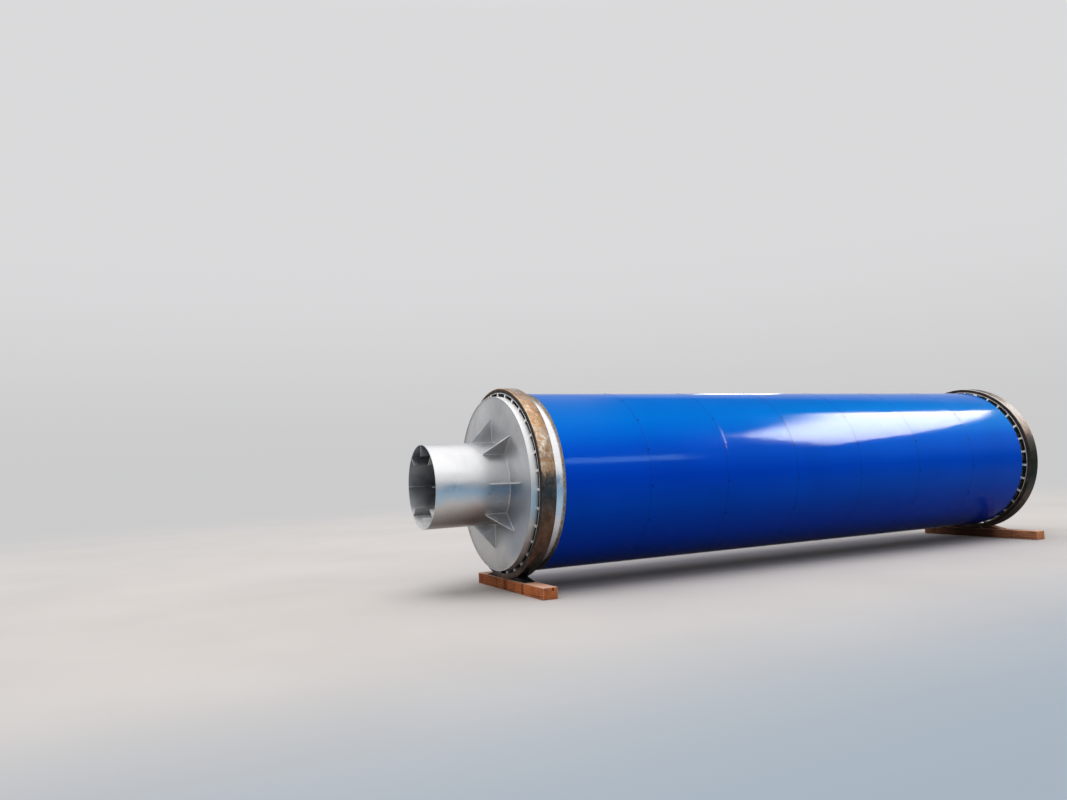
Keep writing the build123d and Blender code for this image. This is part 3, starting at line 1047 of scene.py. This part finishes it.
def makeSeat(end, settings):
    near, far, outer = endBox(end, "seat_band")
    side = ends[end]
    bm = turnPiece(ringOutline(side * near, side * far, outer - settings["band"], outer), settings)
    # the band's round faces take the near-black oxide, a painted shade; its end faces the light steel
    markSides(bm, 0.5)
    makePiece(bm, end + "SeatBand", [steel["seatSteel"], seatOxideAndShade], [end + "_seat_band"])


# The 32 pads on the shell that carry the seat band
padSettings = {
    "count": 32, "startAngle": {"front": 4.0, "rear": 7.05}, "width": 0.038, "edge": 0.0065,
    "bead": 0.0055, "beadInset": 0.004,
}


def makePads(end, settings):
    near, far, _ = endBox(end, "tyre_pads")
    middle = ends[end] * (near + far) / 2
    reach = (far - near) / 2 - settings["beadInset"]
    bandInner = endBox(end, "seat_band")[2] - seatSettings["band"]
    top = math.sqrt(bandInner ** 2 - (settings["width"] / 2) ** 2)
    bm = bmesh.new()
    beads = bmesh.new()
    for k in range(settings["count"]):
        turn = aroundAxis(settings["startAngle"][end] + k * 360 / settings["count"])
        spot = turn @ Matrix.Translation((middle, (top + shellRadius) / 2, 0))
        addBlock(bm, spot, (far - near, top - shellRadius, settings["width"]))
        span = (middle - reach, middle + reach)
        addFootBeads(beads, turn, span, shellRadius, settings["width"], settings["bead"], 6)
    soften(bm, settings["edge"], 3)
    # the pads' ends take the near-white steel and their sides the darker plate steel: painted light and
    # shade
    markSides(bm, 0.3)
    makePiece(bm, end + "PadRow", [steel["padSteel"], steel["plateSteel"]], [end + "_tyre_pads"])
    makePiece(beads, end + "PadWelds", [seatOxideAndShade], smooth=60)


# Closing ring: a foot strip on the shell and a row of snipped tabs in front of the wool
closingSettings = {
    "sheet": 0.0016, "gap": 0.0006, "foot": 0.019, "steps": 288,
    "tabs": 200, "tabShare": 0.66, "lean": 0.0025,
    # from least to most: how wide a tab is, how far it leans, and how far it stands from its place
    "widths": (0.88, 1.08), "leans": (-0.2, 1.0), "shifts": (-0.08, 0.08),
}


def makeClosingRing(end, settings):
    near, far, outer = endBox(end, "closing_ring")
    side = ends[end]
    thick = settings["sheet"]
    inner = shellRadius + settings["gap"]
    bend = side * (far - settings["foot"])
    bm = bmesh.new()
    lathe(bm, ringOutline(bend, side * far, inner, inner + thick), settings["steps"])
    height = outer - inner - thick
    pitch = 2 * math.pi * (inner + height / 2) / settings["tabs"]
    for k in range(settings["tabs"]):
        width = pitch * settings["tabShare"] * random.uniform(*settings["widths"])
        lean = random.uniform(*settings["leans"]) * settings["lean"]
        turn = aroundAxis((k + random.uniform(*settings["shifts"])) * 360 / settings["tabs"])
        spot = turn @ Matrix.Translation((bend - side * thick / 2, inner + thick + height / 2, 0))
        spot = spot @ Matrix.Rotation(-side * lean / height, 4, "Z")
        addBlock(bm, spot, (thick, height, width))
    makePiece(bm, end + "ClosingRing", [zincSheet], [end + "_closing_ring"], 30)


# Head plate, with the welds that run round it and round the nozzle
headSettings = {
    "gap": 0.0003, "edge": 0.001, "steps": 288,
    # how high a weld stands on the plate, and how far it reaches to each side
    "shellWeld": (0.0021, 0.0036), "nozzleWeld": (0.00315, 0.009),
    "weldSides": 8, "weldSteps": 360,
    # how far the welds' ripples go along the drum and outwards, and how fine they are
    "ripples": ((0.0012, 60), (0.001, 45)),
}


def makeHead(end, settings):
    near, far, outer = endBox(end, "head_plate")
    nozzleRadius = endBox(end, "nozzle")[2]
    side = ends[end]
    hole = nozzleRadius + settings["gap"]
    bm = turnPiece(ringOutline(side * near, side * far, hole, outer), settings)
    makePiece(bm, end + "HeadDisc", [steel["headSteel"]], [end + "_head_plate"])
    welds = bmesh.new()
    angles = [2 * math.pi * k / settings["weldSides"] for k in range(settings["weldSides"])]
    for radius, (rise, half) in ((outer, settings["shellWeld"]), (nozzleRadius, settings["nozzleWeld"])):
        outline = [(side * (far + rise * math.cos(a)), radius + half * math.sin(a)) for a in angles]
        lathe(welds, outline, settings["weldSteps"])
    (along, alongScale), (out, outScale) = settings["ripples"]
    for vert in welds.verts:
        vert.co.x += side * along * noise.noise(vert.co * alongScale)
        vert.co += outward(vert.co) * out * noise.noise(vert.co * outScale)
    makePiece(welds, end + "HeadWelds", [weldMetal], smooth=70)


# Nozzle: a plain tube, cut square, with a ground-down seam round its middle
nozzleSettings = {
    "wall": 0.010, "edge": 0.0014, "steps": 288,
    "seamAt": 0.62, "seamWidth": 0.007, "seamRise": 0.0006,
}


def makeNozzle(end, settings):
    near, far, outer = endBox(end, "nozzle")
    inner = outer - settings["wall"]
    seam = far - (far - near) * (1 - settings["seamAt"])
    half = settings["seamWidth"] / 2
    firm = half + settings["seamWidth"]
    outline = [
        (near, inner), (far, inner), (far, outer), (seam + firm, outer), (seam + half, outer),
        (seam, outer + settings["seamRise"]), (seam - half, outer), (seam - firm, outer), (near, outer),
    ]
    bm = turnPiece([(ends[end] * x, radius) for x, radius in outline], settings)
    markBore(bm, inner)
    skins = [steel["nozzleSteel"], steel["boreSteel"]]
    makePiece(bm, end + "NozzleTube", skins, [end + "_nozzle"], 25)


# Gussets: eight flat knees between the nozzle and the head, welded on both sides
gussetSettings = {
    "count": 8, "thickness": 0.012, "nose": 0.016, "gap": 0.0004, "edge": 0.0014,
    "bead": 0.0055, "beadShort": 0.006,
}


def makeGussets(end, settings):
    near, far, tip = endBox(end, "nozzle_gussets")
    side = ends[end]
    foot = endBox(end, "nozzle")[2] + settings["gap"]
    nose = settings["nose"]
    half = settings["thickness"] / 2
    outline = [(near, foot), (near, tip), (near + nose, tip), (far, foot + nose), (far, foot)]
    beadEnds = ((far - settings["beadShort"], foot), (near, tip - settings["beadShort"]))
    bm = bmesh.new()
    beads = bmesh.new()
    for k in range(settings["count"]):
        turn = aroundAxis(k * 360 / settings["count"])
        corners = [bm.verts.new(turn @ Vector((side * x, radius, -half))) for x, radius in outline]
        liftFace(bm, bm.faces.new(corners), turn.to_3x3() @ Vector((0, 0, settings["thickness"])))
        for way in (-half, half):
            heel = turn @ Vector((side * near, foot, way))
            for x, radius in beadEnds:
                addBead(beads, heel, turn @ Vector((side * x, radius, way)), settings["bead"])
    bmesh.ops.recalc_face_normals(bm, faces=bm.faces)
    soften(bm, settings["edge"])
    makePiece(bm, end + "GussetPlates", [steel["plateSteel"]], [end + "_nozzle_gussets"])
    makePiece(beads, end + "GussetWelds", [weldMetal], smooth=60)


# Ribs along the inside of the nozzle
ribSettings = {
    "count": 8, "thickness": 0.008, "height": 0.145, "edge": 0.0012, "bead": 0.004, "beadShort": 0.004,
}


def makeRibs(end, settings):
    near, far, outer = endBox(end, "nozzle_ribs")
    middle = ends[end] * (near + far) / 2
    span = (ends[end] * (near + settings["beadShort"]), ends[end] * (far - settings["beadShort"]))
    bm = bmesh.new()
    beads = bmesh.new()
    for k in range(settings["count"]):
        turn = aroundAxis(k * 360 / settings["count"])
        spot = turn @ Matrix.Translation((middle, outer - settings["height"] / 2, 0))
        addBlock(bm, spot, (far - near, settings["height"], settings["thickness"]))
        addFootBeads(beads, turn, span, outer, settings["thickness"], settings["bead"], 14)
    soften(bm, settings["edge"])
    markSides(bm, 0.5)
    # the ribs' ends take the near-white pad steel and their sides the darker bore steel: painted light and
    # shade
    for face in bm.faces:
        place = face.calc_center_median() - axisPoint
        if abs(place.z) < settings["thickness"]:  # the two side ribs take the darker steel to their ends: painted shade
            face.material_index = 1
        if abs(place.y) < settings["thickness"] and place.z < 0:  # the bottom one takes the near-white steel all over: painted light
            face.material_index = 0
    skins = [steel["padSteel"], steel["boreSteel"]]
    makePiece(bm, end + "NozzleRibs", skins, [end + "_nozzle_ribs"])
    makePiece(beads, end + "RibWelds", [weldMetal], smooth=60)


for endName in ends:
    makeTyre(endName, tyreSettings)
    makeSeat(endName, seatSettings)
    makePads(endName, padSettings)
    makeClosingRing(endName, closingSettings)
    makeHead(endName, headSettings)
    makeNozzle(endName, nozzleSettings)
    makeGussets(endName, gussetSettings)
    makeRibs(endName, ribSettings)
print("tyres, heads and nozzles built")

# Timbers under the tyres: sawn beams with worn edges, and a hole in the front one's near end
timberSettings = {
    "rows": 42, "columns": 7, "layers": 2, "edge": 0.006,
    "warp": 0.0022, "bendScale": 2.3, "roughScale": 31, "roughShare": 0.3,
    "outwardShare": 0.2,  # how much is left of a step outwards, so that the beam keeps its size
    "holed": "front", "holeAcross": 0.17, "holeInset": 0.001, "holeDepth": 0.12,
    "heart": (0.06, -0.03),  # where the growth rings are centred, from mid-width and from the floor
    "bleach": 0.35,  # of the worn corners
    "dark": {"front": (0.34, 0.085, 0.028), "rear": (0.28, 0.09, 0.04)},
    "light": {"front": (0.84, 0.27, 0.1), "rear": (0.84, 0.36, 0.18)},
    # how light the timber is at places along Y, from its near end to its far end: dark joints, and painted
    # shade where the drum shades it
    "stretches": {
        "front": (
            (-1.2, 1.15), (-1.1, 1.2), (-1.06, 0.9), (-1.03, 1.2), (-0.62, 1.35), (-0.59, 0.5),
            (-0.56, 0.6), (-0.53, 1.25), (-0.12, 1.1), (-0.06, 0.45), (0.01, 0.4), (0.05, 1.0),
            (0.22, 0.9), (0.25, 0.4), (0.28, 0.8), (0.9, 0.8),
        ),
        "rear": (
            (-1.3, 1.35), (-0.85, 1.3), (-0.82, 0.8), (-0.79, 1.1), (-0.55, 0.9), (-0.42, 0.28),
            (0.2, 0.18), (0.75, 0.5), (1.0, 0.8),
        ),
    },
}


def warpTimber(bm, low, high, settings):
    # bends and roughens a beam, and keeps it inside its box
    centre = (low + high) / 2
    for vert in bm.verts:
        seed = vert.co * settings["bendScale"]
        bend = Vector((noise.noise(seed), 0, noise.noise(seed + Vector((9, 0, 0)))))
        rough = noise.noise(vert.co * settings["roughScale"]) * settings["roughShare"]
        step = (bend + Vector((rough, rough, rough))) * settings["warp"]
        inward = Vector((centre.x - vert.co.x, 0, centre.z - vert.co.z)).normalized()
        if step.dot(inward) < 0:
            step = step * settings["outwardShare"]
        moved = vert.co + step
        vert.co = [max(least, min(most, part)) for least, most, part in zip(low, high, moved)]


def makeTimberBeam(end, settings):
    low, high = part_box(end + "_timber")
    size = high - low
    centre = (low + high) / 2
    heartX, heartZ = settings["heart"]
    ringCentre = (-centre.x - heartX, 0.0, -heartZ)
    tones = (settings["dark"][end], settings["light"][end], settings["stretches"][end])
    material = makeTimber(end + "Timber", ringCentre, *tones)
    wornCorner = makeTimber(end + "TimberCorner", ringCentre, *tones, bleach=settings["bleach"])
    bm = bmesh.new()
    addBlock(bm, Matrix.Translation(centre), size)
    for axis, cuts in ((1, settings["rows"]), (0, settings["columns"]), (2, settings["layers"])):
        across = [e for e in bm.edges if abs(e.verts[0].co[axis] - e.verts[1].co[axis]) > 1e-4]
        bmesh.ops.subdivide_edges(bm, edges=across, cuts=cuts, use_grid_fill=True)
    soften(bm, settings["edge"], 2, 60)
    if end == settings["holed"]:
        holeX = centre.x + size.x * settings["holeAcross"]
        spot = Vector((holeX, low.y, high.z - size.z / settings["layers"] / 2))
        nearFaces = [f for f in bm.faces if f.normal.y < -0.9]
        face = min(nearFaces, key=lambda f: (f.calc_center_median() - spot).length)
        bmesh.ops.inset_individual(bm, faces=[face], thickness=settings["holeInset"])
        liftFace(bm, face, (0, settings["holeDepth"], 0))
        bmesh.ops.delete(bm, geom=[face], context="FACES_ONLY")
    for face in bm.faces:
        if max(abs(part) for part in face.normal) < 0.97:
            face.material_index = 1
    warpTimber(bm, low, high, settings)
    bmesh.ops.recalc_face_normals(bm, faces=bm.faces)
    makePiece(bm, end + "Beam", [material, wornCorner], [end + "_timber"], 40)
    return material


timberOf = {endName: makeTimberBeam(endName, timberSettings) for endName in ends}

# Chocks on the timbers, ribbed rubber at the front end and sawn wedges at the rear end
chockSettings = {
    "touch": 0.153, "heel": 0.620, "peak": 0.400, "heelHeight": 0.008,
    "edge": {"front": 0.005, "rear": 0.002},
    "grooves": 7, "grooveHalf": 0.004, "grooveDepth": 0.004, "leastHeight": 0.002,
}


def cutGrooves(bm, floor, settings):
    # lowers the narrow strips of the slope behind the peak
    half, peak = settings["grooveHalf"], settings["peak"]
    strips = []
    for face in bm.faces:
        places = [v.co.y for v in face.verts]
        isNarrow = abs(max(places) - min(places) - 2 * half) < half / 2
        if isNarrow and face.normal.z > 0.5 and abs(face.calc_center_median().y) > peak:
            strips.append(face)
    for face in strips:
        for vert in face.verts:
            vert.co.z = max(floor + settings["leastHeight"], vert.co.z - settings["grooveDepth"])


def makeChock(end, hand, settings):
    low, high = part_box(f"{end}_{hand}_chock")
    way = 1 if hand == "left" else -1
    peak, heel, half = settings["peak"], settings["heel"], settings["grooveHalf"]
    outline = [
        (settings["touch"] * way, low.z), (peak * way, high.z),
        (heel * way, low.z + settings["heelHeight"]), (heel * way, low.z),
    ]
    bm = bmesh.new()
    corners = [bm.verts.new((low.x, y, z)) for y, z in outline]
    liftFace(bm, bm.faces.new(corners), (high.x - low.x, 0, 0))
    for k in range(1, settings["grooves"]):
        place = peak + (heel - peak) * k / settings["grooves"]
        for shift in (-half, half):
            bmesh.ops.bisect_plane(bm, geom=bm.verts[:] + bm.edges[:] + bm.faces[:], dist=1e-6,
                                   plane_co=(0, way * (place + shift), 0), plane_no=(0, 1, 0))
    bmesh.ops.recalc_face_normals(bm, faces=bm.faces)
    if end == "front":
        cutGrooves(bm, low.z, settings)
    soften(bm, settings["edge"][end], 2, 50)
    material = chockRubber if end == "front" else timberOf[end]
    makePiece(bm, end + hand.capitalize() + "Wedge", [material], [f"{end}_{hand}_chock"], 40)


for endName in ends:
    for handName in ("left", "right"):
        makeChock(endName, handName, chockSettings)
print("timbers and chocks built")

# Nodes that are shown as packed: the blanket of wool and the lifting flights
for nodeName, material in (("insulation", mineralWool), ("lifting_flights", steel["boreSteel"])):
    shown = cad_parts[nodeName]
    shown.data.materials.clear()
    shown.data.materials.append(material)

print("scene done")
